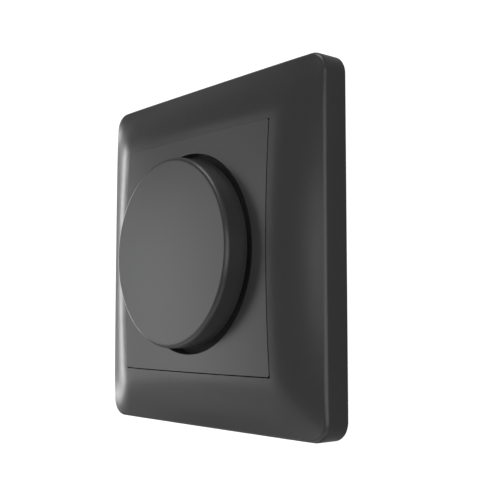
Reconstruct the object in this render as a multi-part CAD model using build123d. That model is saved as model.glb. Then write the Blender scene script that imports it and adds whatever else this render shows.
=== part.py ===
from build123d import *
from math import cos, radians, sin, sqrt
import os

# Rotary wall dimmer: turn to dim, push to switch, fixed to a wall box with screws 60 mm apart.
# Each piece is drawn lying on its back: X runs right, Y runs up and Z comes out of the wall.
# Z = 0 is the wall and the turning axis is Z. The last lines stand the pieces up, front facing -Y.
# All sizes are in millimetres.

# Outer frame
frame_side = 81.3
frame_corner = 4.4
frame_wall = 2.0
rim_height = 5.95
rim_round = 1.0
border_fall = 2.0
collar_wall = 1.6
ledge_width = 1.8
ledge_thickness = 1.6
frame_rib = 1.2
frame_rib_spacing = 36.0
opening_gap = 0.14
seat_gap = 0.03

# Centre plate
plate_side = 55.0
plate_corner = 0.6
crown_height = 12.05
crown_radius = 378.0
skirt_wall = 1.5
plate_skin = 2.0
plate_floor = 2.0
recess_gap = 1.4
recess_wall = 1.5
recess_edge_round = 0.2

# Knob
knob_diameter = 44.0
knob_depth = 5.6
knob_lift = 3.4
knob_edge_round = 1.0
knob_crown_radius = 378.0
knob_wall = 1.8
knob_skin = 1.6
knob_rib = 1.2
knob_rib_count = 6
knob_rib_drop = 1.2
hub_diameter = 11.0
push_travel = 1.5

# Spring leaf that grips the shaft in the knob
leaf_thickness = 0.4
leaf_width = 4.0

# Shaft, bush and nut
shaft_diameter = 6.0
shaft_flat = 1.5
shaft_tail = 1.5
bush_diameter = 10.0
bush_flange_diameter = 14.0
bush_flange = 1.0
bush_stand = 0.2
nut_thickness = 2.0
nut_across_flats = 14.0
clip_thickness = 0.6
clip_diameter = 9.6
clip_groove = 0.7
clip_mouth = 4.0

# Support plate
support_margin = 3.15
support_corner = 5.0
support_thickness = 1.2
box_screw_spacing = 60.0
box_slot_length = 6.5
box_slot_width = 3.8
screw_head_notch = 9.0
screw_head_room = 3.0

# Module cover and rear housing
boss_height = 6.0
boss_roof = 2.0
boss_wall = 2.7
lid_thickness = 2.0
housing_width = 49.0
housing_corner_reach = 4.0
housing_wall = 1.8
component_room = 16.6
post_inset = 7.5
post_diameter = 5.2
shoulder_diameter = 8.0
housing_edge_round = 1.0
vent_count = 6
vent_pitch = 4.5
vent_width = 1.5
vent_length = 14.0
vent_y = 10.0

# Housing screws
screw_diameter = 2.6
screw_length = 14.0
screw_head_diameter = 5.0
screw_head_height = 1.6
drive_slot_width = 0.8
drive_slot_depth = 0.7

# Potentiometer
pot_diameter = 18.0
pot_wall = 1.0
rotor_clearance = 0.4
rotor_thickness = 1.8
rotor_lug_share = 0.2
lug_angle = 40.0
track_thickness = 0.8
track_bore = 7.2
wiper_thickness = 0.2
wiper_inset = 0.3
wiper_clearance = 0.4
leg_width = 0.8
leg_thickness = 0.3
leg_pitch = 2.5
leg_count = 3

# Push switch
switch_inset = 2.0
switch_roof = 1.0
switch_floor = 0.8
plunger_diameter = 8.4
plunger_stem = 3.2
plunger_flange = 1.1
spring_length = 3.0
spring_diameter = 6.4
spring_wire = 0.45
spring_turns = 3
spring_wire_sides = 8

# Circuit board and what it carries
board_thickness = 1.6
lead_diameter = 0.8
lead_stand = 0.5
choke_edge = 5.4
choke_to_film = 2.0
choke_core_outer = 13.0
choke_core_inner = 7.0
choke_core_height = 6.0
choke_wire = 1.0
film_x = 1.0
film_edge = 0.9
film_length = 18.0
film_width = 7.0
film_height = 11.5
film_pitch = 15.0
can_to_sink = 9.0
can_to_bay = 0.6
can_diameter = 8.0
can_height = 11.0
can_pitch = 3.5
can_groove = 0.4
sink_edge = 1.9
sink_y = 1.0
sink_thickness = 2.0
sink_length = 20.0
sink_height = 12.5
transistor_width = 10.0
transistor_height = 9.0
transistor_thickness = 4.4
transistor_leg_length = 2.5
transistor_leg_pitch = 2.54
clamp_screw_diameter = 2.8
clamp_screw_head = 5.2
clamp_screw_head_height = 1.8
fuse_to_film = 5.0
fuse_diameter = 5.0
fuse_length = 20.0
fuse_cap_length = 5.0
fuse_cap_wall = 0.2
fuse_clip_wall = 0.5
fuse_clip_length = 4.0
fuse_lift = 3.6
chip_to_pins = 5.0
chip_length = 9.6
chip_width = 5.6
chip_height = 3.2
chip_leg_count = 4
chip_leg_pitch = 2.54
chip_leg_width = 0.6
chip_leg_reach = 0.9

# Terminals
terminal_count = 3
terminal_pitch = 9.5
bay_depth = 12.0
bay_width = 10.0
bay_wall = 1.4
clamp_width = 7.2
clamp_length = 8.4
clamp_height = 9.0
wire_hole = 3.4
wire_hole_depth = 3.2
pin_diameter = 1.2
terminal_screw_diameter = 3.4
terminal_screw_head = 5.8
terminal_screw_head_height = 1.9

# Clearances
running_gap = 0.05
fixed_gap = 0.05
loose_gap = 0.3
thin_gap = 0.1

# Heights in front of the wall, worked out from the stack of pieces
seat_height = support_thickness + ledge_thickness
recess_floor = boss_height + plate_floor
bush_top = recess_floor + nut_thickness + bush_stand
hub_rear = bush_top + push_travel + loose_gap
knob_rear = recess_floor + knob_lift
knob_edge = knob_rear + knob_depth
knob_ceiling = knob_edge - knob_skin
shaft_top = knob_ceiling - loose_gap
pot_front = boss_height - boss_roof
flange_front = pot_front - pot_wall
flange_rear = flange_front - bush_flange
clip_front = flange_rear - thin_gap
clip_rear = clip_front - clip_thickness
rotor_front = clip_rear - push_travel - loose_gap
rotor_rear = rotor_front - rotor_thickness
wiper_rear = rotor_rear - wiper_thickness
track_front = wiper_rear - thin_gap
track_rear = track_front - track_thickness
shaft_rear = track_rear - shaft_tail
plunger_front = shaft_rear - running_gap
spring_front = plunger_front - plunger_flange
spring_rear = spring_front - spring_length
board_front = spring_rear - switch_floor
board_rear = board_front - board_thickness
housing_floor = board_rear - component_room
housing_rear = housing_floor - housing_wall
bay_front = housing_rear + bay_depth

# Sizes across, worked out from what fits in what
opening_side = plate_side + 2 * opening_gap
opening_place = Pos(opening_gap - seat_gap, seat_gap - opening_gap)
support_side = frame_side - 2 * (frame_wall + support_margin)
border_width = (frame_side - plate_side) / 2
recess_radius = knob_diameter / 2 + recess_gap
shaft_radius = shaft_diameter / 2
flat_place = shaft_radius - shaft_flat
bush_radius = bush_diameter / 2
boss_inner = pot_diameter / 2 + loose_gap
boss_outer = boss_inner + boss_wall
pot_inner = pot_diameter / 2 - pot_wall
rotor_lug_reach = rotor_lug_share * pot_inner
rotor_radius = pot_inner - rotor_clearance - rotor_lug_reach
wiper_radius = rotor_radius - wiper_inset
switch_side = pot_diameter - 2 * switch_inset
bay_edge = bay_width - housing_width / 2
housing_radius = housing_width / 2 + housing_corner_reach
post_pitch = housing_width - 2 * post_inset
post_places = GridLocations(post_pitch, post_pitch, 2, 2)
terminal_places = [terminal_pitch * (i - (terminal_count - 1) / 2) for i in range(terminal_count)]
terminal_y = bay_edge - loose_gap - clamp_length / 2
board_edge = housing_width / 2 - housing_wall - loose_gap
film_y = board_edge - film_edge - film_width / 2
fuse_y = film_y - fuse_to_film
choke_radius = choke_core_outer / 2 + choke_wire
choke_x = choke_edge + choke_radius - board_edge
choke_y = film_y - film_width / 2 - choke_to_film - choke_radius
sink_x = board_edge - sink_edge - sink_thickness / 2
can_x = sink_x - can_to_sink
can_y = bay_edge + bay_wall + can_to_bay + can_diameter / 2
chip_y = terminal_y + chip_to_pins


def prism(sketch, bottom, top):
    """A flat outline raised between two heights above the wall."""
    return Pos(0, 0, bottom) * extrude(sketch, amount=top - bottom)


def rounded(side, corner):
    """A square outline with round corners."""
    return RectangleRounded(side, side, corner)


def around(count, shape):
    """The same shape repeated evenly about the turning axis."""
    turned = [Rot(0, 0, 360 * i / count) * shape for i in range(count)]
    return turned[0].fuse(*turned[1:])


def sector(radius, angle, middle):
    """A pie slice of the given angle about the turning axis, centred on a direction in degrees."""
    reach = 2 * radius
    sides = [middle - angle / 2, middle + angle / 2]
    corners = [(reach * cos(radians(side)), reach * sin(radians(side))) for side in sides]
    return Polygon((0, 0), *corners, align=None)


def d_outline(radius, flat):
    """A round outline with one side cut flat, as on a shaft that drives a knob."""
    cut = Pos(flat + radius, 0) * Rectangle(2 * radius, 2 * radius)
    return Circle(radius) - cut


def dome(height, radius):
    """A large ball whose top stands at the given height, with its poles at the sides."""
    return Pos(0, 0, height - radius) * Rot(0, 90, 0) * Sphere(radius)


def border_share(across):
    """How much of the crown is left at this distance from the centre line: 1 on the plate, 0 at the rim."""
    past_plate = max(0.0, abs(across) - plate_side / 2)
    return 1 - (past_plate / border_width) ** border_fall


def front_height(x, y):
    """Height of the frame's front: the plate's crown, carried on and falling to a level rim."""
    crown = crown_height - (x * x + y * y) / (2 * crown_radius)
    return rim_height + (crown - rim_height) * border_share(x) * border_share(y)


def space_above_front(drop):
    """Everything in front of the frame's curved face, lowered by drop."""
    steps = 40
    reach = frame_side / 2 + rim_round
    places = [reach * (2 * i / steps - 1) for i in range(steps + 1)]
    rows = [[(x, y, front_height(x, y) - drop) for y in places] for x in places]
    skin = Face.make_surface_from_array_of_points(rows, tol=0.005, min_deg=3, max_deg=5)
    return extrude(skin, amount=2 * crown_height, dir=(0, 0, 1))


def screw_head_notches(bottom, top):
    """Four notches that leave room for the heads of the wall box screws."""
    across = box_slot_length + screw_head_notch
    notch = Pos(box_screw_spacing / 2, 0) * Rectangle(across, screw_head_notch)
    return prism(around(4, notch), bottom, top)


def module_outline(inset):
    """The square with rounded-off corners that passes into a round wall box."""
    return Rectangle(housing_width - 2 * inset, housing_width - 2 * inset) & Circle(housing_radius - inset)


def slotted_screw(shank, length, head, head_height):
    """A pan head screw along Z, its head resting on Z = 0 and its shank below."""
    body = prism(Circle(shank / 2), -length, 0) + prism(Circle(head / 2), 0, head_height)
    top_edge = body.edges().group_by(Axis.Z)[-1]
    body = chamfer(top_edge, head_height / 4)
    slot = prism(Rectangle(2 * head, drive_slot_width), head_height - drive_slot_depth, 2 * head_height)
    return body - slot


def make_outer_frame():
    shell = prism(rounded(frame_side, frame_corner), 0, crown_height) - space_above_front(0)
    front = shell.faces().sort_by(Axis.Z)[-1]
    shell = fillet(front.outer_wire().edges(), rim_round)
    inside = frame_side - 2 * frame_wall
    collar_side = opening_side + 2 * collar_wall
    collar = opening_place * Rectangle(collar_side, collar_side)
    rib_pair = GridLocations(0, frame_rib_spacing, 1, 2) * Rectangle(frame_side, frame_rib)
    ribs = Sketch() + rib_pair
    ribs += Rot(0, 0, 90) * ribs
    inside_outline = rounded(inside, max(frame_corner - frame_wall, frame_wall / 4))
    hollow = prism(inside_outline - collar - ribs, 0, crown_height) - space_above_front(frame_wall)
    shell -= hollow
    shell -= prism(inside_outline, 0, support_thickness)
    ledge = opening_side - 2 * ledge_width
    shell -= prism(opening_place * Rectangle(ledge, ledge), 0, crown_height)
    shell -= prism(opening_place * Rectangle(opening_side, opening_side), seat_height, crown_height)
    return shell - screw_head_notches(support_thickness, support_thickness + screw_head_room)


def make_centre_plate():
    plate = prism(rounded(plate_side, plate_corner), seat_height, 2 * crown_height)
    plate &= dome(crown_height, crown_radius)
    plate -= prism(Circle(recess_radius), recess_floor, 2 * crown_height)
    rim = plate.edges().filter_by(GeomType.CIRCLE).sort_by(Axis.Z)[-1]
    plate = fillet(rim, recess_edge_round)
    inner = Rectangle(plate_side - 2 * skirt_wall, plate_side - 2 * skirt_wall)
    corners = prism(inner - Circle(recess_radius + recess_wall), boss_height, 2 * crown_height)
    plate -= corners & dome(crown_height - plate_skin, crown_radius)
    plate -= prism(inner, seat_height, boss_height)
    plate -= prism(Circle(bush_radius + 2 * thin_gap), 0, crown_height)
    return plate - screw_head_notches(seat_height, support_thickness + screw_head_room)


def make_knob_cap():
    radius = knob_diameter / 2
    crown_top = knob_edge + knob_crown_radius - sqrt(knob_crown_radius ** 2 - radius ** 2)
    knob = prism(Circle(radius), knob_rear, 2 * knob_edge) & dome(crown_top, knob_crown_radius)
    front = knob.faces().sort_by(Axis.Z)[-1]
    knob = fillet(front.outer_wire().edges(), knob_edge_round)
    inside = Circle(radius - knob_wall)
    hub = Circle(hub_diameter / 2)
    rib = Pos(radius / 2, 0) * Rectangle(radius, knob_rib)
    ribs = around(knob_rib_count, rib)
    knob -= prism(inside - hub - ribs, knob_rear, knob_ceiling)
    knob -= prism(inside - hub, knob_rear, hub_rear + knob_rib_drop)
    knob -= prism(inside, knob_rear, hub_rear)
    leaf_slot = leaf_thickness + 2 * fixed_gap
    bore = d_outline(shaft_radius + fixed_gap, flat_place)
    slot = Pos(flat_place + leaf_slot / 2, 0) * Rectangle(leaf_slot, leaf_width + 2 * thin_gap)
    return knob - prism(bore + slot, hub_rear, knob_ceiling)


def make_knob_grip_spring():
    middle = flat_place + fixed_gap + leaf_thickness / 2
    outline = Pos(middle, 0) * Rectangle(leaf_thickness, leaf_width)
    return prism(outline, hub_rear + thin_gap, knob_ceiling)


def make_plate_nut():
    hexagon = RegularPolygon(nut_across_flats / 2, 6, major_radius=False)
    turned = Circle(nut_across_flats / 2 + nut_thickness / 4) - Circle(bush_radius + fixed_gap)
    return prism(hexagon & turned, recess_floor, recess_floor + nut_thickness)


def make_pot_bush():
    bush = prism(Circle(bush_radius), flange_front, bush_top)
    top_edge = bush.edges().group_by(Axis.Z)[-1]
    bush = chamfer(top_edge, bush_stand)
    bush += prism(Circle(bush_flange_diameter / 2), flange_rear, flange_front)
    return bush - prism(Circle(shaft_radius + running_gap), flange_rear, bush_top)


def make_pot_shaft():
    driven = d_outline(shaft_radius, flat_place)
    shaft = prism(driven, shaft_rear, clip_rear - thin_gap)
    shaft += prism(Circle(shaft_radius), clip_rear - thin_gap, hub_rear - thin_gap)
    shaft += prism(driven, hub_rear - thin_gap, shaft_top)
    groove = Circle(shaft_diameter) - Circle(shaft_radius - clip_groove)
    return shaft - prism(groove, clip_rear, clip_front)


def make_shaft_circlip():
    ring = Circle(clip_diameter / 2) - Circle(shaft_radius - clip_groove + fixed_gap)
    mouth = Pos(-clip_diameter / 2, 0) * Rectangle(clip_diameter, clip_mouth)
    return prism(ring - mouth, clip_rear, clip_front)


def make_support_plate():
    slot = Pos(box_screw_spacing / 2, 0) * SlotOverall(box_slot_length, box_slot_width)
    outline = rounded(support_side, support_corner) - around(4, slot)
    outline -= Circle(boss_outer + thin_gap)
    outline -= post_places * Circle(screw_diameter / 2 + thin_gap)
    return prism(outline, 0, support_thickness)


def make_module_cover():
    cover = prism(module_outline(0), -lid_thickness, 0) + prism(Circle(boss_outer), 0, boss_height)
    cover -= prism(Circle(boss_inner), -lid_thickness, pot_front)
    cover -= prism(Circle(bush_radius + 2 * thin_gap), pot_front, boss_height)
    holes = Sketch() + post_places * Circle(screw_diameter / 2 + thin_gap)
    return cover - prism(holes, -lid_thickness, 0)


def make_rear_housing():
    housing = prism(module_outline(0), housing_rear, -lid_thickness)
    rear_edges = housing.faces().sort_by(Axis.Z)[0].outer_wire().edges()
    housing = fillet(rear_edges, housing_edge_round)
    inside = module_outline(housing_wall)
    housing -= prism(inside, housing_floor, -lid_thickness)
    shoulders = Sketch() + post_places * Circle(shoulder_diameter / 2)
    posts = Sketch() + post_places * Circle(post_diameter / 2)
    housing += prism(shoulders & inside, housing_floor, board_rear)
    housing += prism(posts & inside, board_rear, -lid_thickness)
    pilots = Sketch() + post_places * Circle(screw_diameter / 2 + fixed_gap)
    housing -= prism(pilots, support_thickness - screw_length - loose_gap, -lid_thickness)
    bay_span = terminal_count * terminal_pitch
    bay_middle = bay_edge - bay_width / 2
    walls = Pos(0, bay_middle + bay_wall / 2) * Rectangle(bay_span + 2 * bay_wall, bay_width + bay_wall)
    housing += prism(walls & module_outline(0), housing_floor, bay_front + bay_wall)
    ribs = Sketch() + [Pos(x + terminal_pitch / 2, bay_middle) * Rectangle(bay_wall, bay_width)
                       for x in terminal_places[:-1]]
    bay = Pos(0, bay_middle) * Rectangle(bay_span, bay_width)
    housing -= prism(bay - ribs, housing_rear, bay_front)
    pins = Sketch() + [Pos(x, terminal_y) * Circle(pin_diameter / 2 + thin_gap) for x in terminal_places]
    housing -= prism(pins, bay_front, bay_front + bay_wall)
    vent_row = Pos(0, vent_y) * GridLocations(vent_pitch, 0, vent_count, 1)
    vents = Sketch() + [place * Rectangle(vent_width, vent_length) for place in vent_row]
    return housing - prism(vents, housing_rear, housing_floor)


def make_housing_screws():
    screw = slotted_screw(screw_diameter, screw_length, screw_head_diameter, screw_head_height)
    return [place * Pos(0, 0, support_thickness) * screw for place in post_places]


def make_circuit_board():
    outline = module_outline(housing_wall + loose_gap)
    outline -= post_places * Circle(post_diameter / 2 + thin_gap)
    lead_hole = Circle(lead_diameter / 2 + thin_gap)
    outline -= [Pos(x, terminal_y) * Circle(pin_diameter / 2 + thin_gap) for x in terminal_places]
    outline -= [place * lead_hole for place in leg_places()]
    outline -= [Pos(film_x, film_y) * place * lead_hole for place in GridLocations(film_pitch, 0, 2, 1)]
    outline -= [Pos(can_x, can_y) * place * lead_hole for place in GridLocations(can_pitch, 0, 2, 1)]
    outline -= [place * lead_hole for place in transistor_leg_places()]
    return prism(outline, board_rear, board_front)


def leg_places():
    """Where the potentiometer's legs pass through the board, below the switch."""
    middle = -switch_side / 2 - thin_gap - leg_thickness / 2
    return [Pos(leg_pitch * (i - (leg_count - 1) / 2), middle) for i in range(leg_count)]


def make_pot_housing():
    cup = prism(Circle(pot_diameter / 2), track_rear, pot_front)
    cup -= prism(Circle(pot_inner), track_rear, flange_front)
    stop = (Circle(pot_inner) - Circle(rotor_radius + loose_gap)) & sector(pot_diameter, lug_angle, -90)
    cup += prism(stop, rotor_rear, rotor_front)
    return cup - prism(Circle(bush_radius + fixed_gap), flange_front, pot_front)


def make_wiper_rotor():
    lug = Circle(rotor_radius + rotor_lug_reach) & sector(pot_diameter, lug_angle, 90)
    outline = Circle(rotor_radius) + lug
    outline -= d_outline(shaft_radius + running_gap, flat_place + running_gap)
    return prism(outline, rotor_rear, rotor_front)


def make_wiper_contact():
    ring = Circle(wiper_radius) - Circle(shaft_radius + wiper_clearance)
    return prism(ring - sector(wiper_radius, lug_angle, 0), wiper_rear, rotor_rear)


def make_resistance_track():
    return prism(Circle(pot_inner - fixed_gap) - Circle(track_bore / 2), track_rear, track_front)


def make_pot_legs():
    leg = prism(Rectangle(leg_width, leg_thickness), board_rear - lead_stand, track_rear)
    return [place * leg for place in leg_places()]


def make_switch_housing():
    body = prism(rounded(switch_side, pot_wall), board_front, track_rear)
    body -= prism(Circle(plunger_diameter / 2 + loose_gap), spring_rear, track_rear - switch_roof)
    return body - prism(Circle(shaft_radius + loose_gap), track_rear - switch_roof, track_rear)


def make_switch_plunger():
    stem_rear = spring_rear + push_travel + loose_gap
    flange = prism(Circle(plunger_diameter / 2), spring_front, plunger_front)
    return flange + prism(Circle(plunger_stem / 2), stem_rear, spring_front)


def make_switch_spring():
    coil_radius = (spring_diameter - spring_wire) / 2
    rise = spring_length - spring_wire - 2 * fixed_gap
    path = Helix(rise / spring_turns, rise, coil_radius)
    section = Plane(path @ 0, z_dir=path % 0) * RegularPolygon(spring_wire / 2, spring_wire_sides)
    wire = sweep(section, path=path)
    return Pos(0, 0, spring_rear + fixed_gap + spring_wire / 2) * wire


def make_choke_core():
    ring = Circle(choke_core_outer / 2) - Circle(choke_core_inner / 2)
    rear = board_rear - choke_wire - choke_core_height
    return Pos(choke_x, choke_y) * prism(ring, rear, rear + choke_core_height)


def make_choke_winding():
    inner = choke_core_inner / 2 - choke_wire
    rear = board_rear - 2 * choke_wire - choke_core_height
    coil = prism(Circle(choke_radius) - Circle(inner), rear, board_rear)
    coil = chamfer(coil.edges().filter_by(GeomType.CIRCLE), choke_wire / 2)
    core = Circle(choke_core_outer / 2 + fixed_gap) - Circle(choke_core_inner / 2 - fixed_gap)
    coil -= prism(core, rear + choke_wire - fixed_gap, board_rear - choke_wire + fixed_gap)
    return Pos(choke_x, choke_y) * coil


def leads(pitch, depth):
    """Two leads that pass through the board."""
    pair = Sketch() + GridLocations(pitch, 0, 2, 1) * Circle(lead_diameter / 2)
    return prism(pair, board_rear - depth, board_front + lead_stand)


def make_film_capacitor():
    body = prism(Rectangle(film_length, film_width), board_rear - film_height, board_rear)
    body = fillet(body.edges().filter_by(Axis.Z), housing_edge_round)
    return Pos(film_x, film_y) * (body + leads(film_pitch, film_height / 2))


def make_smoothing_capacitor():
    body = prism(Circle(can_diameter / 2), board_rear - can_height, board_rear)
    body = chamfer(body.edges().filter_by(GeomType.CIRCLE), can_groove)
    groove = prism(Circle(can_diameter) - Circle(can_diameter / 2 - can_groove),
                   board_rear - 4 * can_groove, board_rear - 2 * can_groove)
    return Pos(can_x, can_y) * (body - groove + leads(can_pitch, can_height / 2))


def transistor_leg_places():
    """Where the transistor's three legs pass through the board, beside the heat sink."""
    x = sink_x - sink_thickness / 2 - transistor_thickness / 2
    return [Pos(x, sink_y + transistor_leg_pitch * (i - 1)) for i in range(3)]


def clamp_screw_axis():
    """The line of the screw that holds the transistor to the heat sink."""
    height = board_rear - transistor_leg_length - transistor_height / 2
    return Pos(sink_x - sink_thickness / 2 - transistor_thickness, sink_y, height) * Rot(0, -90, 0)


def make_heat_sink():
    plate = prism(Rectangle(sink_thickness, sink_length), board_rear - sink_height, board_rear)
    plate = fillet(plate.edges().filter_by(Axis.X), sink_thickness / 2)
    thread = Cylinder(clamp_screw_diameter / 2 + fixed_gap, 4 * transistor_thickness)
    return Pos(sink_x, sink_y) * plate - clamp_screw_axis() * thread


def make_power_transistor():
    front = board_rear - transistor_leg_length
    middle = sink_x - sink_thickness / 2 - transistor_thickness / 2
    body = prism(Rectangle(transistor_thickness, transistor_width), front - transistor_height, front)
    body = Pos(middle, sink_y) * body
    hole = Cylinder(clamp_screw_diameter / 2 + thin_gap, 4 * transistor_thickness)
    body -= clamp_screw_axis() * hole
    leg = prism(Circle(lead_diameter / 2), front, board_front + lead_stand)
    return body.fuse(*[place * leg for place in transistor_leg_places()])


def make_transistor_screw():
    length = transistor_thickness + sink_thickness
    screw = slotted_screw(clamp_screw_diameter, length, clamp_screw_head, clamp_screw_head_height)
    return clamp_screw_axis() * screw


def fuse_axis():
    """The fuse lies along X, in front of the board."""
    return Pos(0, fuse_y, board_front + fuse_lift) * Rot(0, 90, 0)


def make_fuse_tube():
    bore = fuse_diameter / 2 - 2 * fuse_cap_wall
    glass = fuse_diameter / 2 - fuse_cap_wall - fixed_gap
    half = fuse_length / 2 - fuse_cap_wall - fixed_gap
    return fuse_axis() * prism(Circle(glass) - Circle(bore / 2), -half, half)


def make_fuse_caps():
    half = fuse_length / 2
    cap = prism(Circle(fuse_diameter / 2), half - fuse_cap_length, half)
    cap -= prism(Circle(fuse_diameter / 2 - fuse_cap_wall), half - fuse_cap_length, half - fuse_cap_wall)
    return [fuse_axis() * Rot(0, turn, 0) * cap for turn in (0, 180)]


def make_fuse_clips():
    inner = fuse_diameter / 2 + fixed_gap
    outer = inner + fuse_clip_wall
    jaws = Circle(outer) - Circle(inner) - Pos(-outer, 0) * Rectangle(2 * outer - inner, inner)
    foot = Pos((fuse_lift + inner) / 2, 0) * Rectangle(fuse_lift - inner, fuse_clip_length)
    middle = fuse_length / 2 - fuse_cap_length / 2
    clip = prism(jaws + foot, middle - fuse_clip_length / 2, middle + fuse_clip_length / 2)
    return [fuse_axis() * Rot(turn, 0, 0) * clip for turn in (0, 180)]


def make_control_chip():
    body = prism(Rectangle(chip_length, chip_width), board_front + 2 * thin_gap, board_front + chip_height)
    leg_row = GridLocations(chip_leg_pitch, 0, chip_leg_count, 1)
    reach = chip_width + 2 * chip_leg_reach
    legs = Sketch() + leg_row * Rectangle(chip_leg_width, reach)
    return Pos(0, chip_y) * (body + prism(legs, board_front, board_front + chip_height / 2))


def make_terminal_clamps():
    rear = bay_front - clamp_height
    block = prism(Rectangle(clamp_width, clamp_length), rear, bay_front)
    block = chamfer(block.edges().filter_by(Axis.Z), housing_edge_round / 2)
    wire = Pos(0, 0, bay_front - wire_hole_depth) * Rot(90, 0, 0) * Cylinder(wire_hole / 2, 2 * clamp_length)
    thread = prism(Circle(terminal_screw_diameter / 2 + fixed_gap), rear, bay_front - wire_hole_depth)
    pin = prism(Circle(pin_diameter / 2), bay_front, board_front + lead_stand)
    clamp = block - wire - thread + pin
    return [Pos(x, terminal_y) * clamp for x in terminal_places]


def make_terminal_screws():
    rear = bay_front - clamp_height
    length = clamp_height - wire_hole_depth - wire_hole / 2 - thin_gap
    screw = slotted_screw(terminal_screw_diameter, length, terminal_screw_head, terminal_screw_head_height)
    return [Pos(x, terminal_y, rear) * Rot(180, 0, 0) * screw for x in terminal_places]


pieces = {
    "outer_frame": make_outer_frame(),
    "centre_plate": make_centre_plate(),
    "knob_cap": make_knob_cap(),
    "knob_grip_spring": make_knob_grip_spring(),
    "plate_nut": make_plate_nut(),
    "pot_bush": make_pot_bush(),
    "pot_shaft": make_pot_shaft(),
    "shaft_circlip": make_shaft_circlip(),
    "support_plate": make_support_plate(),
    "module_cover": make_module_cover(),
    "rear_housing": make_rear_housing(),
    "housing_screws": make_housing_screws(),
    "circuit_board": make_circuit_board(),
    "pot_housing": make_pot_housing(),
    "wiper_rotor": make_wiper_rotor(),
    "wiper_contact": make_wiper_contact(),
    "resistance_track": make_resistance_track(),
    "pot_legs": make_pot_legs(),
    "switch_housing": make_switch_housing(),
    "switch_plunger": make_switch_plunger(),
    "switch_spring": make_switch_spring(),
    "choke_core": make_choke_core(),
    "choke_winding": make_choke_winding(),
    "film_capacitor": make_film_capacitor(),
    "smoothing_capacitor": make_smoothing_capacitor(),
    "heat_sink": make_heat_sink(),
    "power_transistor": make_power_transistor(),
    "transistor_screw": make_transistor_screw(),
    "fuse_tube": make_fuse_tube(),
    "fuse_caps": make_fuse_caps(),
    "fuse_clips": make_fuse_clips(),
    "control_chip": make_control_chip(),
    "terminal_clamps": make_terminal_clamps(),
    "terminal_screws": make_terminal_screws(),
}

# Stand the pieces up against the wall and write each one
upright = Rot(90, 0, 0)
os.makedirs("parts", exist_ok=True)
for name, piece in pieces.items():
    solids = piece if isinstance(piece, list) else [piece]
    export_step(Compound(children=[upright * solid for solid in solids]), f"parts/{name}.step")
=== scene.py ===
import bpy
from math import cos, pi, radians, sin
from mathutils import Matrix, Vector


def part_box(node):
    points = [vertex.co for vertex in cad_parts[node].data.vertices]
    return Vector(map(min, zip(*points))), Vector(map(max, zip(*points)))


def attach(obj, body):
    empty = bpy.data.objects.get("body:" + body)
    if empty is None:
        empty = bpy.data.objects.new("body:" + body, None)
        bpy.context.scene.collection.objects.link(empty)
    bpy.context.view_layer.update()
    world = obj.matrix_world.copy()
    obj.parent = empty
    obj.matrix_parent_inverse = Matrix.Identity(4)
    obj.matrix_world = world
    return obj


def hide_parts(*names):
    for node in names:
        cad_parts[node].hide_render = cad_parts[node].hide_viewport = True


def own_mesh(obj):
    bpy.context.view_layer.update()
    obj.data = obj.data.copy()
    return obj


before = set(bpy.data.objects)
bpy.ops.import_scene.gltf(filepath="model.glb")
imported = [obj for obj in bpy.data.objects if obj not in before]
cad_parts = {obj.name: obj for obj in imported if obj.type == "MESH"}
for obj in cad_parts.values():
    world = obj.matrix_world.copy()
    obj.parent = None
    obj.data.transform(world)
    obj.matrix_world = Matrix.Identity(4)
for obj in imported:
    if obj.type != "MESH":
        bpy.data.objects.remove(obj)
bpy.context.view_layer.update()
bpy.ops.object.select_all(action="DESELECT")


# Rear housing and front cover of the insert, moulded in glass-filled polyamide and joined by four screws.
# The mould is spark eroded, so the grey walls are matt, with a fine grain and faint clouds from the melt.
# The real grain is about 0.1 mm, too fine to show, so it is drawn at 0.7 mm.

def linear(code):
    """The linear colour of an sRGB hex code."""
    parts = [int(code[i:i + 2], 16) / 255 for i in (1, 3, 5)]
    return [c / 12.92 if c <= 0.04045 else ((c + 0.055) / 1.055) ** 2.4 for c in parts] + [1.0]


def add(tree, kind, settings=None, sockets=None, links=None):
    """A new node with its settings, the values of its sockets and the outputs that feed it."""
    node = tree.nodes.new("ShaderNode" + kind)
    for name, value in (settings or {}).items():
        setattr(node, name, value)
    for name, value in (sockets or {}).items():
        node.inputs[name].default_value = value
    for name, source in (links or {}).items():
        tree.links.new(source, node.inputs[name])
    return node


def start_material(name):
    """A new material with its node tree, its shader and the place of each point on the piece."""
    material = bpy.data.materials.new(name)
    material.use_nodes = True
    tree = material.node_tree
    return material, tree, tree.nodes["Principled BSDF"], add(tree, "TexCoord").outputs["Object"]


# A Mix node's colour sockets go by number, because its sockets for plain numbers have the same names.
share, colour_a, colour_b, mixed_colour = 0, 6, 7, 2


def join_shader(tree, shader, tone, gloss=None, relief=None):
    """Feeds the shader its colour and, where the surface has them, its varying gloss and its relief."""
    tree.links.new(tone.outputs[mixed_colour], shader.inputs["Base Color"])
    if gloss:
        tree.links.new(gloss.outputs["Result"], shader.inputs["Roughness"])
    if relief:
        tree.links.new(relief.outputs["Normal"], shader.inputs["Normal"])


def per_mm(size):
    """The pattern scale that repeats once in this many millimetres."""
    return 1000 / size


def finish_node(names, material):
    """Gives CAD nodes one material."""
    for name in names:
        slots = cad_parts[name].data.materials
        slots.clear()
        slots.append(material)


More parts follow.
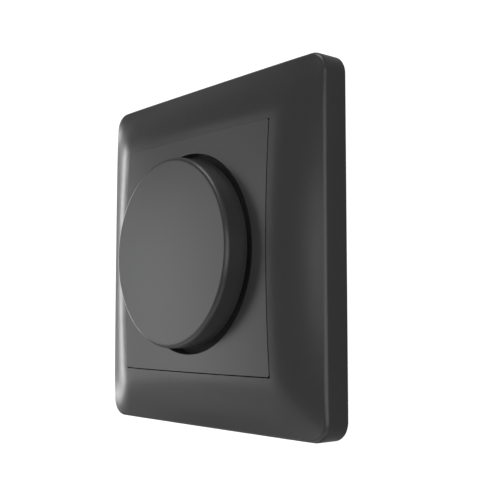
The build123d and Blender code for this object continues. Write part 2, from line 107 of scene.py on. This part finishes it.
polyamide, tree, shader, place = start_material("glass_filled_polyamide")
clouds = add(tree, "TexNoise", {}, {"Scale": per_mm(9), "Detail": 3}, {"Vector": place})
tone = add(tree, "Mix", {"data_type": "RGBA"},
           {colour_a: linear("#46484b"), colour_b: linear("#585a5d")}, {share: clouds.outputs["Fac"]})
grain = add(tree, "TexNoise", {}, {"Scale": per_mm(0.7), "Detail": 2}, {"Vector": place})
gloss = add(tree, "MapRange", {}, {"To Min": 0.42, "To Max": 0.64}, {"Value": grain.outputs["Fac"]})
relief = add(tree, "Bump", {}, {"Strength": 0.5, "Distance": 0.00015}, {"Height": grain.outputs["Fac"]})
join_shader(tree, shader, tone, gloss, relief)
shader.inputs["IOR"].default_value = 1.53
finish_node(["rear_housing", "module_cover"], polyamide)


# Three terminals: brass clamps pressed into the housing's bay, each with a zinc-plated screw for the wire.
# The brass is cut from drawn bar and left bare, so it is warm and a little uneven, with fine marks along it.
# Marks on drawn and rolled metal, here and below, are drawn coarser than the real ones, so that they show.

brass, tree, shader, place = start_material("bare_drawn_brass")
stain = add(tree, "TexNoise", {}, {"Scale": per_mm(3), "Detail": 4}, {"Vector": place})
tone = add(tree, "Mix", {"data_type": "RGBA"},
           {colour_a: linear("#b48a45"), colour_b: linear("#d2ab63")}, {share: stain.outputs["Fac"]})
stretch = add(tree, "Mapping", {}, {"Scale": (1, 0.06, 1)}, {"Vector": place})
marks = add(tree, "TexNoise", {}, {"Scale": per_mm(0.25), "Detail": 2}, {"Vector": stretch.outputs["Vector"]})
gloss = add(tree, "MapRange", {}, {"To Min": 0.24, "To Max": 0.42}, {"Value": marks.outputs["Fac"]})
relief = add(tree, "Bump", {}, {"Strength": 0.15, "Distance": 0.00003}, {"Height": marks.outputs["Fac"]})
join_shader(tree, shader, tone, gloss, relief)
shader.inputs["Metallic"].default_value = 1
finish_node(["terminal_clamps"], brass)

zinc_plate, tree, shader, place = start_material("zinc_plated_steel")
spangle = add(tree, "TexNoise", {}, {"Scale": per_mm(5), "Detail": 5}, {"Vector": place})
tone = add(tree, "Mix", {"data_type": "RGBA"},
           {colour_a: linear("#b9bec4"), colour_b: linear("#d3d3cd")}, {share: spangle.outputs["Fac"]})
rolled = add(tree, "Mapping", {}, {"Scale": (0.08, 1, 1)}, {"Vector": place})
marks = add(tree, "TexNoise", {}, {"Scale": per_mm(0.5), "Detail": 3}, {"Vector": rolled.outputs["Vector"]})
gloss = add(tree, "MapRange", {}, {"To Min": 0.28, "To Max": 0.46}, {"Value": marks.outputs["Fac"]})
relief = add(tree, "Bump", {}, {"Strength": 0.12, "Distance": 0.00003}, {"Height": marks.outputs["Fac"]})
join_shader(tree, shader, tone, gloss, relief)
shader.inputs["Metallic"].default_value = 1
finish_node(["terminal_screws"], zinc_plate)


# Circuit board: glass-fibre laminate under green solder resist, carried on shoulders in the housing.
# The weave prints through the lacquer as a faint check, and the copper areas below show as paler patches.

laminate, tree, shader, place = start_material("solder_resist_on_laminate")
# A wave texture repeats every 2 pi / 20 of its scaled length.
wave_length = 2 * pi / 20
weave_scale = per_mm(0.8) * wave_length
warp = add(tree, "TexWave", {"bands_direction": "X"}, {"Scale": weave_scale}, {"Vector": place})
weft = add(tree, "TexWave", {"bands_direction": "Z"}, {"Scale": weave_scale}, {"Vector": place})
weave = add(tree, "Math", {"operation": "MULTIPLY"}, {}, {0: warp.outputs["Fac"], 1: weft.outputs["Fac"]})
pours = add(tree, "TexVoronoi", {"distance": "CHEBYCHEV"}, {"Scale": per_mm(5)}, {"Vector": place})
copper = add(tree, "Math", {"operation": "GREATER_THAN"}, {1: 0.5}, {0: pours.outputs["Color"]})
tone = add(tree, "Mix", {"data_type": "RGBA"},
           {colour_a: linear("#14502b"), colour_b: linear("#226a3b")}, {share: copper.outputs["Value"]})
gloss = add(tree, "MapRange", {}, {"To Min": 0.28, "To Max": 0.4}, {"Value": weave.outputs["Value"]})
relief = add(tree, "Bump", {}, {"Strength": 0.2, "Distance": 0.00004}, {"Height": weave.outputs["Value"]})
join_shader(tree, shader, tone, gloss, relief)
finish_node(["circuit_board"], laminate)


# Choke: a sintered ferrite ring wound with enamelled copper wire, to keep switching noise off the mains.
# The ring is dull and speckled like fine slate, and the wire shows copper through its varnish in close turns.
# Each turn is painted lighter on its crest and darker between turns: painted highlight and painted shade.

ferrite, tree, shader, place = start_material("sintered_ferrite")
specks = add(tree, "TexVoronoi", {}, {"Scale": per_mm(0.3)}, {"Vector": place})
tone = add(tree, "Mix", {"data_type": "RGBA"},
           {colour_a: linear("#1c1c1e"), colour_b: linear("#38383a")}, {share: specks.outputs["Distance"]})
relief = add(tree, "Bump", {}, {"Strength": 0.3, "Distance": 0.00004}, {"Height": specks.outputs["Distance"]})
join_shader(tree, shader, tone, relief=relief)
shader.inputs["Roughness"].default_value = 0.6
finish_node(["choke_core"], ferrite)

wire, tree, shader, place = start_material("enamelled_copper_wire")
wire_turns = 24
low_corner, high_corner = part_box("choke_winding")
to_middle = [-(low + high) / 2 for low, high in zip(low_corner, high_corner)]
middle = add(tree, "Mapping", {}, {"Location": to_middle}, {"Vector": place})
across = add(tree, "SeparateXYZ", {}, {}, {"Vector": middle.outputs["Vector"]})
angle = add(tree, "Math", {"operation": "ARCTAN2"}, {}, {0: across.outputs["Z"], 1: across.outputs["X"]})
wound = add(tree, "Math", {"operation": "MULTIPLY"}, {1: wire_turns}, {0: angle.outputs["Value"]})
swell = add(tree, "Math", {"operation": "SINE"}, {}, {0: wound.outputs["Value"]})
turns = add(tree, "MapRange", {}, {"From Min": -1}, {"Value": swell.outputs["Value"]})
# Painted highlight and shade: the colour runs from dark brown between the turns to bright copper on each
# crest.
tone = add(tree, "Mix", {"data_type": "RGBA"},
           {colour_a: linear("#7a3a18"), colour_b: linear("#c07038")}, {share: turns.outputs["Result"]})
relief = add(tree, "Bump", {}, {"Strength": 0.5, "Distance": 0.0002}, {"Height": turns.outputs["Result"]})
join_shader(tree, shader, tone, relief=relief)
shader.inputs["Metallic"].default_value = 1
shader.inputs["Roughness"].default_value = 0.3
shader.inputs["Coat Weight"].default_value = 0.6
finish_node(["choke_winding"], wire)


# Capacitors: a film capacitor in a yellow moulded box, and a smoothing capacitor in a drawn aluminium can.
# The box is glossy with soft sink clouds. The can has fine draw lines along it and a bright, uneven skin.

film_box, tree, shader, place = start_material("yellow_moulded_polyester")
sink = add(tree, "TexNoise", {}, {"Scale": per_mm(4), "Detail": 2}, {"Vector": place})
tone = add(tree, "Mix", {"data_type": "RGBA"},
           {colour_a: linear("#c9a21c"), colour_b: linear("#e0bb36")}, {share: sink.outputs["Fac"]})
gloss = add(tree, "MapRange", {}, {"To Min": 0.22, "To Max": 0.36}, {"Value": sink.outputs["Fac"]})
join_shader(tree, shader, tone, gloss)
finish_node(["film_capacitor"], film_box)

drawn_can, tree, shader, place = start_material("drawn_aluminium")
pulled = add(tree, "Mapping", {}, {"Scale": (1, 0.04, 1)}, {"Vector": place})
lines = add(tree, "TexNoise", {}, {"Scale": per_mm(0.3), "Detail": 3}, {"Vector": pulled.outputs["Vector"]})
tone = add(tree, "Mix", {"data_type": "RGBA"},
           {colour_a: linear("#c3c5ca"), colour_b: linear("#dcdde0")}, {share: lines.outputs["Fac"]})
gloss = add(tree, "MapRange", {}, {"To Min": 0.24, "To Max": 0.42}, {"Value": lines.outputs["Fac"]})
join_shader(tree, shader, tone, gloss)
shader.inputs["Metallic"].default_value = 1
finish_node(["smoothing_capacitor"], drawn_can)


# Power transistor, screwed to a heat sink of sheared aluminium sheet, and the control chip on the board.
# Their epoxy is moulded black with a satin top. The sheet keeps the rolling mill's long straight marks.

sheet, tree, shader, place = start_material("rolled_aluminium_sheet")
rolled = add(tree, "Mapping", {}, {"Scale": (1, 0.05, 1)}, {"Vector": place})
marks = add(tree, "TexNoise", {}, {"Scale": per_mm(0.4), "Detail": 4}, {"Vector": rolled.outputs["Vector"]})
tone = add(tree, "Mix", {"data_type": "RGBA"},
           {colour_a: linear("#b5b8bd"), colour_b: linear("#cdd0d4")}, {share: marks.outputs["Fac"]})
gloss = add(tree, "MapRange", {}, {"To Min": 0.32, "To Max": 0.52}, {"Value": marks.outputs["Fac"]})
join_shader(tree, shader, tone, gloss)
shader.inputs["Metallic"].default_value = 1
finish_node(["heat_sink"], sheet)

epoxy, tree, shader, place = start_material("black_moulded_epoxy")
filler = add(tree, "TexNoise", {}, {"Scale": per_mm(0.3), "Detail": 2}, {"Vector": place})
tone = add(tree, "Mix", {"data_type": "RGBA"},
           {colour_a: linear("#17171a"), colour_b: linear("#26262a")}, {share: filler.outputs["Fac"]})
gloss = add(tree, "MapRange", {}, {"To Min": 0.38, "To Max": 0.58}, {"Value": filler.outputs["Fac"]})
relief = add(tree, "Bump", {}, {"Strength": 0.15, "Distance": 0.00004}, {"Height": filler.outputs["Fac"]})
join_shader(tree, shader, tone, gloss, relief)
finish_node(["power_transistor", "control_chip"], epoxy)
finish_node(["transistor_screw"], zinc_plate)


# Fine-wire fuse: a glass tube between tinned copper caps, gripped by two clips of bronze strip.
# The glass is clear with a trace of haze. Tin is soft and pale, and the rolled bronze is brown and satin.

glass, tree, shader, place = start_material("clear_fuse_glass")
haze = add(tree, "TexNoise", {}, {"Scale": per_mm(2), "Detail": 3}, {"Vector": place})
gloss = add(tree, "MapRange", {}, {"To Min": 0.02, "To Max": 0.09}, {"Value": haze.outputs["Fac"]})
tree.links.new(gloss.outputs["Result"], shader.inputs["Roughness"])
shader.inputs["Base Color"].default_value = linear("#f2f8f7")
shader.inputs["IOR"].default_value = 1.5
shader.inputs["Transmission Weight"].default_value = 1
finish_node(["fuse_tube"], glass)

tin, tree, shader, place = start_material("tinned_copper")
bloom = add(tree, "TexNoise", {}, {"Scale": per_mm(1.2), "Detail": 4}, {"Vector": place})
tone = add(tree, "Mix", {"data_type": "RGBA"},
           {colour_a: linear("#b9b9b4"), colour_b: linear("#d4d4d0")}, {share: bloom.outputs["Fac"]})
gloss = add(tree, "MapRange", {}, {"To Min": 0.26, "To Max": 0.46}, {"Value": bloom.outputs["Fac"]})
join_shader(tree, shader, tone, gloss)
shader.inputs["Metallic"].default_value = 1
finish_node(["fuse_caps"], tin)

bronze, tree, shader, place = start_material("rolled_bronze_strip")
temper = add(tree, "TexNoise", {}, {"Scale": per_mm(1.5), "Detail": 4}, {"Vector": place})
tone = add(tree, "Mix", {"data_type": "RGBA"},
           {colour_a: linear("#946634"), colour_b: linear("#bf8d4f")}, {share: temper.outputs["Fac"]})
gloss = add(tree, "MapRange", {}, {"To Min": 0.26, "To Max": 0.42}, {"Value": temper.outputs["Fac"]})
join_shader(tree, shader, tone, gloss)
shader.inputs["Metallic"].default_value = 1
finish_node(["fuse_clips"], bronze)


# Potentiometer: a moulded housing with a carbon track printed on phenolic, three tinned legs, and a rotor of
# white acetal that carries the bronze wiper. Acetal is waxy and slightly see-through, the track dull.

acetal, tree, shader, place = start_material("white_acetal")
flow = add(tree, "TexNoise", {}, {"Scale": per_mm(3), "Detail": 2}, {"Vector": place})
tone = add(tree, "Mix", {"data_type": "RGBA"},
           {colour_a: linear("#dad8d0"), colour_b: linear("#e9e8e2")}, {share: flow.outputs["Fac"]})
gloss = add(tree, "MapRange", {}, {"To Min": 0.3, "To Max": 0.42}, {"Value": flow.outputs["Fac"]})
join_shader(tree, shader, tone, gloss)
shader.inputs["Subsurface Weight"].default_value = 0.15
shader.inputs["Subsurface Scale"].default_value = 0.0008
shader.inputs["IOR"].default_value = 1.48
finish_node(["wiper_rotor"], acetal)

carbon, tree, shader, place = start_material("carbon_print_on_phenolic")
fibres = add(tree, "TexNoise", {}, {"Scale": per_mm(0.5), "Detail": 4}, {"Vector": place})
tone = add(tree, "Mix", {"data_type": "RGBA"},
           {colour_a: linear("#3c2412"), colour_b: linear("#6b4122")}, {share: fibres.outputs["Fac"]})
gloss = add(tree, "MapRange", {}, {"To Min": 0.42, "To Max": 0.6}, {"Value": fibres.outputs["Fac"]})
join_shader(tree, shader, tone, gloss)
finish_node(["resistance_track"], carbon)
finish_node(["pot_housing"], epoxy)
finish_node(["pot_legs"], tin)
finish_node(["wiper_contact"], bronze)


# Push switch behind the potentiometer: a black housing, an acetal plunger and the coil spring that lifts it.
# The spring is drawn steel wire, blued a little by heat treatment, polished by the die and wound cold.
# It stands on the housing's floor.

spring_steel, tree, shader, place = start_material("drawn_spring_steel")
blueing = add(tree, "TexNoise", {}, {"Scale": per_mm(2), "Detail": 3}, {"Vector": place})
tone = add(tree, "Mix", {"data_type": "RGBA"},
           {colour_a: linear("#7f838a"), colour_b: linear("#a2a3a4")}, {share: blueing.outputs["Fac"]})
gloss = add(tree, "MapRange", {}, {"To Min": 0.2, "To Max": 0.34}, {"Value": blueing.outputs["Fac"]})
join_shader(tree, shader, tone, gloss)
shader.inputs["Metallic"].default_value = 1
finish_node(["switch_housing"], epoxy)
finish_node(["switch_plunger"], acetal)

wire_radius, wire_sides = 0.000225, 12
coil_turns, steps_per_turn = 3, 48
front_end, rear_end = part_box("switch_spring")
first_turn, last_turn = front_end[1] + wire_radius, rear_end[1] - wire_radius
bpy.ops.mesh.primitive_circle_add(vertices=wire_sides, radius=wire_radius)
coil = bpy.context.object
coil.name = "switch_coil"
bpy.ops.object.mode_set(mode="EDIT")
bpy.ops.mesh.select_all(action="SELECT")
bpy.ops.transform.translate(value=(rear_end[0] - wire_radius, first_turn, 0))
bpy.ops.object.mode_set(mode="OBJECT")
winding = coil.modifiers.new("winding", "SCREW")
winding.axis = "Y"
winding.iterations = coil_turns
winding.screw_offset = (last_turn - first_turn) / coil_turns
winding.steps = winding.render_steps = steps_per_turn
bpy.ops.object.modifier_apply(modifier="winding")
bpy.ops.object.mode_set(mode="EDIT")
bpy.ops.mesh.select_all(action="SELECT")
bpy.ops.mesh.fill_holes(sides=0)
bpy.ops.mesh.normals_make_consistent(inside=False)
bpy.ops.object.mode_set(mode="OBJECT")
bpy.ops.object.shade_smooth_by_angle(angle=radians(50))
coil.data.materials.append(spring_steel)
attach(coil, "base")
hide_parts("switch_spring")
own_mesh(coil)


# Spindle: the steel shaft slides and turns in a threaded brass bush, and a circlip keeps it from coming out.
# Shaft and bush are turned and the ring is punched, in the brass and the steel of the pieces above.

finish_node(["pot_bush"], brass)
finish_node(["pot_shaft", "shaft_circlip"], spring_steel)


# Support plate of stamped steel, zinc plated after cutting, with slots for the wall box and four screws that
# hold cover and housing behind it. The plating is cool and silky, with the strip's rolling marks across it.

finish_node(["support_plate", "housing_screws"], zinc_plate)


# Outer frame: moulded shell in anthracite plastic, whose front carries on the plate's crown and falls to a
# level rim. It is clamped under the centre plate. The surface is satin: grey bands of light lie on it softly.
# The mould's texture is finer than 0.1 mm, too fine to show, so it is drawn at 0.3 mm.

anthracite, tree, shader, place = start_material("satin_anthracite_plastic")
drift = add(tree, "TexNoise", {}, {"Scale": per_mm(14), "Detail": 2}, {"Vector": place})
tone = add(tree, "Mix", {"data_type": "RGBA"},
           {colour_a: linear("#2e2e2f"), colour_b: linear("#323233")}, {share: drift.outputs["Fac"]})
texture = add(tree, "TexNoise", {}, {"Scale": per_mm(0.3), "Detail": 2}, {"Vector": place})
gloss = add(tree, "MapRange", {}, {"To Min": 0.27, "To Max": 0.31}, {"Value": texture.outputs["Fac"]})
relief = add(tree, "Bump", {}, {"Strength": 0.05, "Distance": 0.00004}, {"Height": texture.outputs["Fac"]})
join_shader(tree, shader, tone, gloss, relief)
shader.inputs["Specular IOR Level"].default_value = 0.4
satin_gloss = gloss.name
finish_node(["outer_frame"], anthracite)


# Centre plate: the crowned 55 mm square round the knob, from the frame's plastic, clamped from inside by a
# hexagon nut of brass on the bush. The mould is polished for the front only, so the recess stays matt.

recess_radius, matt_roughness = 0.02335, 0.8
number_a, number_b, mixed_number = 2, 3, 0
recess_plastic = anthracite.copy()
recess_plastic.name = "satin_anthracite_with_matt_recess"
tree = recess_plastic.node_tree
place = add(tree, "TexCoord").outputs["Object"]
flat = add(tree, "Mapping", {}, {"Scale": (1, 0, 1)}, {"Vector": place})
reach = add(tree, "VectorMath", {"operation": "LENGTH"}, {}, {0: flat.outputs["Vector"]})
inside = add(tree, "Math", {"operation": "LESS_THAN"}, {1: recess_radius}, {0: reach.outputs["Value"]})
polish = tree.nodes[satin_gloss].outputs["Result"]
dulled = add(tree, "Mix", {}, {number_b: matt_roughness}, {share: inside.outputs["Value"], number_a: polish})
tree.links.new(dulled.outputs[mixed_number], tree.nodes["Principled BSDF"].inputs["Roughness"])
finish_node(["centre_plate"], recess_plastic)
finish_node(["plate_nut"], brass)


# Knob cap: the round cap that is turned and pushed, from the same plastic, pressed on the shaft.
# A leaf of spring steel in its hub grips the flat of the shaft.

finish_node(["knob_cap"], anthracite)
finish_node(["knob_grip_spring"], spring_steel)


# Wall: a plain painted surface that the dimmer is mounted on, with a square opening behind the frame for the
# insert. It shows from the room only, so that the insert can be seen from behind. The paint is grey under a
# glow that makes it white to the eye, because satin plastic this dark shows little of a wall so close to it.

wall_side, wall_place, opening = 3, 0.0004, 0.0775
wall_glow, mirrored_share = 0.97, 0.1
bpy.ops.mesh.primitive_plane_add(size=wall_side, location=(0, wall_place, 0), rotation=(radians(90), 0, 0))
wall = bpy.context.object
wall.name = "wall"
bpy.ops.object.mode_set(mode="EDIT")
bpy.ops.mesh.select_all(action="SELECT")
bpy.ops.mesh.inset(thickness=(wall_side - opening) / 2, depth=0)
bpy.ops.mesh.delete(type="FACE")
bpy.ops.object.mode_set(mode="OBJECT")
white_wall = bpy.data.materials.new("white_wall_paint")
white_wall.use_nodes = True
tree = white_wall.node_tree
tree.nodes.clear()
path = add(tree, "LightPath").outputs
seen = add(tree, "Math", {"operation": "MAXIMUM"}, {},
           {0: path["Is Camera Ray"], 1: path["Is Transmission Ray"]})
mirrored = add(tree, "Math", {"operation": "MULTIPLY"}, {1: mirrored_share}, {0: path["Is Glossy Ray"]})
white = add(tree, "Math", {"operation": "MAXIMUM"}, {},
            {0: seen.outputs["Value"], 1: mirrored.outputs["Value"]})
bright = add(tree, "Math", {"operation": "MULTIPLY"}, {1: wall_glow}, {0: white.outputs["Value"]})
glow = add(tree, "Emission", {}, {}, {"Strength": bright.outputs["Value"]})
paint = add(tree, "BsdfDiffuse", {}, {"Color": linear("#8e8e8e")})
front = add(tree, "AddShader", {}, {}, {0: glow.outputs["Emission"], 1: paint.outputs["BSDF"]})
back = add(tree, "BsdfTransparent")
side = add(tree, "NewGeometry").outputs["Backfacing"]
shown = add(tree, "MixShader", {}, {}, {0: side, 1: front.outputs["Shader"], 2: back.outputs["BSDF"]})
add(tree, "OutputMaterial", {}, {}, {"Surface": shown.outputs["Shader"]})
wall.data.materials.append(white_wall)


# Studio: a white room, dim in front of the wall, and soft panels round the object at arm's length.
# The left panels lie on the face as an even grey, and the one at the far left lights the border there. Panels
# below, above and on the right shape the crown and the edges, and one behind lights the insert.

studio = bpy.data.worlds.new("white_studio")
bpy.context.scene.world = studio
studio.use_nodes = True
tree = studio.node_tree
tree.nodes.clear()
path = add(tree, "LightPath").outputs
seen = add(tree, "Math", {"operation": "MAXIMUM"}, {},
           {0: path["Is Camera Ray"], 1: path["Is Transmission Ray"]})
heading = add(tree, "SeparateXYZ", {}, {}, {"Vector": add(tree, "TexCoord").outputs["Generated"]})
room = add(tree, "MapRange", {}, {"From Min": -0.05, "From Max": 0.05, "To Min": 0.2, "To Max": 1},
           {"Value": heading.outputs["Y"]})
level = add(tree, "Math", {"operation": "MAXIMUM"}, {}, {0: seen.outputs["Value"], 1: room.outputs["Result"]})
sky = add(tree, "Background", {}, {"Color": linear("#ffffff")}, {"Strength": level.outputs["Value"]})
add(tree, "OutputWorld", {}, {}, {"Surface": sky.outputs["Background"]})


def panel(name, azimuth, elevation, width, height, radiance):
    """A soft light facing the object, by its direction in degrees, its size in metres and its brightness."""
    distance = 0.7
    across, up = radians(azimuth), radians(elevation)
    spot = distance * Vector((sin(across) * cos(up), -cos(across) * cos(up), sin(up)))
    light = bpy.data.lights.new(name, "AREA")
    light.shape = "RECTANGLE"
    light.size, light.size_y = width, height
    light.energy = radiance * pi * width * height
    lamp = bpy.data.objects.new(name, light)
    bpy.context.scene.collection.objects.link(lamp)
    lamp.location = spot
    lamp.rotation_euler = (-spot).to_track_quat("-Z", "Y").to_euler()
    lamp.visible_camera = False


panel("left_edge_panel", -83, 1, 0.15, 0.42, 5.6)
panel("left_wide_panel", -50, -2, 0.34, 0.36, 1.5)
panel("left_core_panel", -51, -3, 0.2, 0.24, 0.9)
panel("left_near_panel", -37, -4, 0.12, 0.44, 0.45)
panel("left_high_panel", -42, 18, 0.36, 0.2, 0.95)
panel("left_low_panel", -47, -26, 0.56, 0.3, 0.65)
panel("low_left_panel", -55, -60, 0.4, 0.4, 1)
panel("low_panel", 0, -50, 0.4, 0.4, 1)
panel("low_right_panel", 60, -50, 0.4, 0.4, 1)
panel("right_front_panel", 22, 0, 0.16, 0.3, 3)
panel("right_wide_panel", 56, 0, 0.56, 0.5, 2.1)
panel("right_edge_panel", 84, 0, 0.16, 0.4, 1.5)
panel("front_top_panel", 20, 48, 0.3, 0.3, 1)
panel("top_panel", -10, 72, 0.44, 0.36, 3.5)
panel("rear_panel", 215, 35, 0.4, 0.4, 3)


# Camera: a medium lens from the right of the object and a little below its middle, level to the horizon.
# Its place and its focal length, in pixels of the square image, follow from the straight edges of the front.

image_width, focal_length = 500, 890.08
lens = bpy.data.cameras.new("camera")
lens.sensor_width = 36
lens.lens = focal_length / image_width * lens.sensor_width
lens.clip_start = 0.001
camera = bpy.data.objects.new("camera", lens)
bpy.context.scene.collection.objects.link(camera)
camera.location = (0.16892, -0.13338, -0.01584)
camera.rotation_euler = (radians(90 + 4.585), 0, radians(50.112))
bpy.context.scene.camera = camera
bpy.context.scene.view_settings.view_transform = "Standard"
